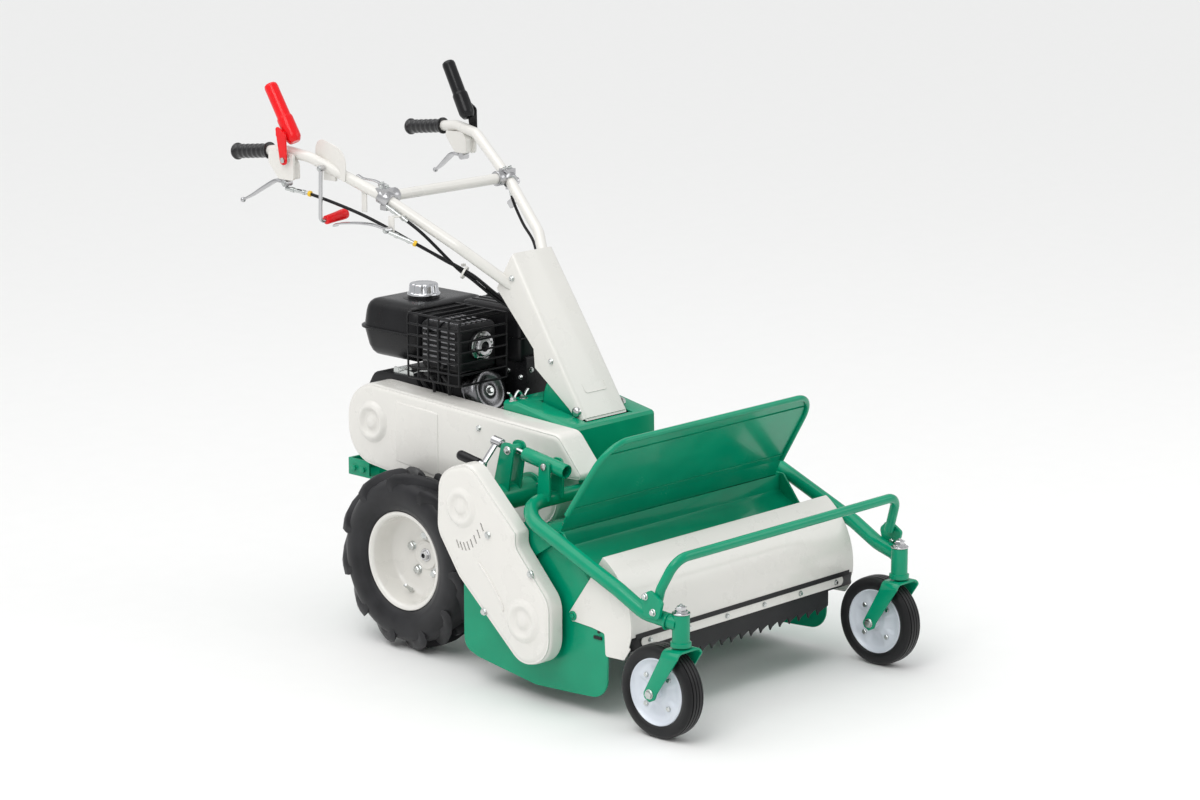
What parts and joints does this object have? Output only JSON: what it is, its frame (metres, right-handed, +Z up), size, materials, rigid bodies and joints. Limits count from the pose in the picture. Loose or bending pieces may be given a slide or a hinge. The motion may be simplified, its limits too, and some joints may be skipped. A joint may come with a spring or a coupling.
{
  "type": "hammer knife mower",
  "caption": "Walk-behind hammer knife mower: engine on a two-wheel chassis, covered belt drives to a flail deck with a swinging hood, front casters and a raised handle.",
  "frame": {"origin": "on the ground, below the middle of the machine's length and width; the middle of the rear axle is at X 0.011, Y 0.183", "axes": "+Z up, +Y towards the operator, so the deck and casters are at -Y, and +X towards the machine's left-hand side, so the belt covers are at -X"},
  "size_m": [0.83, 1.5109, 1.244],
  "materials": {
    "green_paint": "gloss enamel",
    "white_paint": "gloss enamel",
    "red_paint": "gloss red sleeve",
    "black_paint": "satin black sleeve",
    "black_plastic": "satin black",
    "rubber": "matt black rubber",
    "tyre_rubber": "matt black tyre rubber",
    "bright_steel": "bright plated steel",
    "cast_alloy": "cast alloy",
    "cap_metal": "plated cap",
    "rim_grey": "pale grey enamel",
    "drive_case": "dark painted casting",
    "engine_casting": "dark painted casting",
    "muffler_metal": "heat-proof black"
  },
  "bodies": {
    "machine": {"chassis": "green_paint", "rear_hitch": "green_paint", "transmission_case": "drive_case", "engine_block": "engine_casting", "rocker_cover": "cast_alloy", "fan_housing": "engine_casting", "fuel_tank": "black_plastic", "muffler": "muffler_metal", "muffler_guard": "muffler_metal", "air_cleaner": "black_plastic", "main_belt": "rubber", "main_belt_case": "white_paint", "countershaft_housing": "green_paint", "front_belt": "rubber", "front_belt_cover": "white_paint", "deck_shell": "green_paint", "deck_side_left": "green_paint", "deck_side_right": "green_paint", "guard_panel": "green_paint", "front_cover": "green_paint"},
    "wheel_left": {"rim_left": "white_paint", "tyre_left": "tyre_rubber"},
    "wheel_right": {"rim_right": "white_paint", "tyre_right": "tyre_rubber"},
    "crankshaft": {"engine_pulley": "bright_steel"},
    "countershaft": {"countershaft": "bright_steel"},
    "rotor": {"rotor": "bright_steel"},
    "knives_1": {"knife_row_1": "bright_steel"},
    "knives_2": {"knife_row_2": "bright_steel"},
    "knives_3": {"knife_row_3": "bright_steel"},
    "hood": {"hood": "white_paint", "hood_flap": "rubber", "flap_strip": "white_paint"},
    "caster_frame": {"caster_frame": "green_paint", "bumper_bar": "green_paint"},
    "caster_fork_left": {"caster_fork_left": "green_paint"},
    "caster_fork_right": {"caster_fork_right": "green_paint"},
    "caster_wheel_left": {"caster_rim_left": "rim_grey", "caster_tyre_left": "tyre_rubber"},
    "caster_wheel_right": {"caster_rim_right": "rim_grey", "caster_tyre_right": "tyre_rubber"},
    "jack": {"jack_tube": "green_paint"},
    "crank": {"height_crank": "bright_steel"},
    "handle": {"handle_tube_left": "white_paint", "handle_tube_right": "white_paint", "handle_crossbar": "white_paint", "column_cover": "white_paint", "grip_left": "rubber", "grip_right": "rubber", "cable_loom": "black_plastic", "lock_cable": "black_plastic"},
    "clutch_lever_left": {"clutch_lever_left": "black_paint"},
    "clutch_lever_right": {"clutch_lever_right": "red_paint"},
    "side_lever_left": {"side_clutch_lever_left": "cast_alloy"},
    "side_lever_right": {"side_clutch_lever_right": "cast_alloy"},
    "shift_lever": {"shift_lever": "bright_steel"},
    "throttle": {"throttle_lever": "bright_steel"},
    "brake_lever": {"brake_lever": "bright_steel"},
    "lock_lever": {"lock_lever": "bright_steel"},
    "fuel_cap": {"fuel_cap": "cap_metal"}
  },
  "joints": [
    {"name": "wheel_spin_left", "type": "hinge", "parent": "machine", "child": "wheel_left", "pos_m": [0.272, 0.183, 0.206], "axis": [1, 0, 0], "continuous": true},
    {"name": "wheel_spin_right", "type": "hinge", "parent": "machine", "child": "wheel_right", "pos_m": [-0.25, 0.183, 0.206], "axis": [1, 0, 0], "continuous": true},
    {"name": "crankshaft_spin", "type": "hinge", "parent": "machine", "child": "crankshaft", "pos_m": [0.011, 0.379, 0.48], "axis": [1, 0, 0], "continuous": true},
    {"name": "countershaft_spin", "type": "hinge", "parent": "machine", "child": "countershaft", "pos_m": [0.011, -0.129, 0.408], "axis": [1, 0, 0], "continuous": true},
    {"name": "rotor_spin", "type": "hinge", "parent": "machine", "child": "rotor", "pos_m": [0.011, -0.314, 0.192], "axis": [1, 0, 0], "continuous": true},
    {"name": "knife_swing_1", "type": "hinge", "parent": "rotor", "child": "knives_1", "pos_m": [0.011, -0.314, 0.126], "axis": [1, 0, 0], "range_deg": [-118, 118]},
    {"name": "knife_swing_2", "type": "hinge", "parent": "rotor", "child": "knives_2", "pos_m": [0.011, -0.25684, 0.225], "axis": [1, 0, 0], "range_deg": [0, 238]},
    {"name": "knife_swing_3", "type": "hinge", "parent": "rotor", "child": "knives_3", "pos_m": [0.011, -0.37116, 0.225], "axis": [1, 0, 0], "range_deg": [-238, 0]},
    {"name": "hood_swing", "type": "hinge", "parent": "machine", "child": "hood", "pos_m": [0.011, -0.407, 0.211], "axis": [1, 0, 0], "range_deg": [-36, 0]},
    {"name": "frame_tilt", "type": "hinge", "parent": "machine", "child": "caster_frame", "pos_m": [0.011, -0.266, 0.333], "axis": [1, 0, 0], "range_deg": [0, 5]},
    {"name": "caster_swivel_left", "type": "hinge", "parent": "caster_frame", "child": "caster_fork_left", "pos_m": [0.369, -0.709, 0.24], "axis": [0, 0, 1], "continuous": true},
    {"name": "caster_swivel_right", "type": "hinge", "parent": "caster_frame", "child": "caster_fork_right", "pos_m": [-0.347, -0.709, 0.24], "axis": [0, 0, 1], "continuous": true},
    {"name": "caster_spin_left", "type": "hinge", "parent": "caster_fork_left", "child": "caster_wheel_left", "pos_m": [0.369, -0.658, 0.1], "axis": [1, 0, 0], "continuous": true},
    {"name": "caster_spin_right", "type": "hinge", "parent": "caster_fork_right", "child": "caster_wheel_right", "pos_m": [-0.347, -0.658, 0.1], "axis": [1, 0, 0], "continuous": true},
    {"name": "jack_swing", "type": "hinge", "parent": "caster_frame", "child": "jack", "pos_m": [-0.269, -0.264, 0.499], "axis": [1, 0, 0], "range_deg": [-6, 0]},
    {"name": "crank_turn", "type": "hinge", "parent": "machine", "child": "crank", "pos_m": [-0.269, -0.152, 0.5165], "axis": [0, -0.988, -0.1544], "range_deg": [0, 360]},
    {"name": "handle_tilt", "type": "hinge", "parent": "machine", "child": "handle", "pos_m": [0.011, -0.139, 0.561], "axis": [1, 0, 0], "range_deg": [-3, 9]},
    {"name": "clutch_lever_swing_left", "type": "hinge", "parent": "handle", "child": "clutch_lever_left", "pos_m": [0.312, 0.554, 1.073], "axis": [1, 0, 0], "range_deg": [-24, 0]},
    {"name": "clutch_lever_swing_right", "type": "hinge", "parent": "handle", "child": "clutch_lever_right", "pos_m": [-0.29, 0.554, 1.073], "axis": [1, 0, 0], "range_deg": [-24, 0]},
    {"name": "side_lever_swing_left", "type": "hinge", "parent": "handle", "child": "side_lever_left", "pos_m": [0.291, 0.568, 1.0176], "axis": [1, 0, 0], "range_deg": [0, 10], "stiffness_Nm_per_rad": 2, "springref_deg": -5.73},
    {"name": "side_lever_swing_right", "type": "hinge", "parent": "handle", "child": "side_lever_right", "pos_m": [-0.269, 0.568, 1.0176], "axis": [1, 0, 0], "range_deg": [0, 10], "stiffness_Nm_per_rad": 2, "springref_deg": -5.73},
    {"name": "shift_swing", "type": "hinge", "parent": "handle", "child": "shift_lever", "pos_m": [-0.258, 0.466, 1.06], "axis": [1, 0, 0], "range_deg": [-4, 18]},
    {"name": "throttle_swing", "type": "hinge", "parent": "handle", "child": "throttle", "pos_m": [-0.166, 0.363, 1.0198], "axis": [0, 0, 1], "range_deg": [-40, 20]},
    {"name": "brake_swing", "type": "hinge", "parent": "handle", "child": "brake_lever", "pos_m": [-0.221, 0.288, 0.936], "axis": [1, 0, 0], "range_deg": [-20, 0]},
    {"name": "lock_swing", "type": "hinge", "parent": "handle", "child": "lock_lever", "pos_m": [0.2338, 0.341, 0.988], "axis": [1, 0, 0], "range_deg": [-20, 60]},
    {"name": "cap_turn", "type": "hinge", "parent": "machine", "child": "fuel_cap", "pos_m": [0.011, 0.418, 0.735], "axis": [0, 0, 1], "range_deg": [0, 90]}
  ],
  "couplings": [
    {"joint": "countershaft_spin", "follows": "crankshaft_spin", "ratio": 0.76667},
    {"joint": "rotor_spin", "follows": "crankshaft_spin", "ratio": 0.88933},
    {"joint": "jack_swing", "follows": "frame_tilt", "ratio": -1.16},
    {"joint": "crank_turn", "follows": "frame_tilt", "ratio": 72}
  ]
}
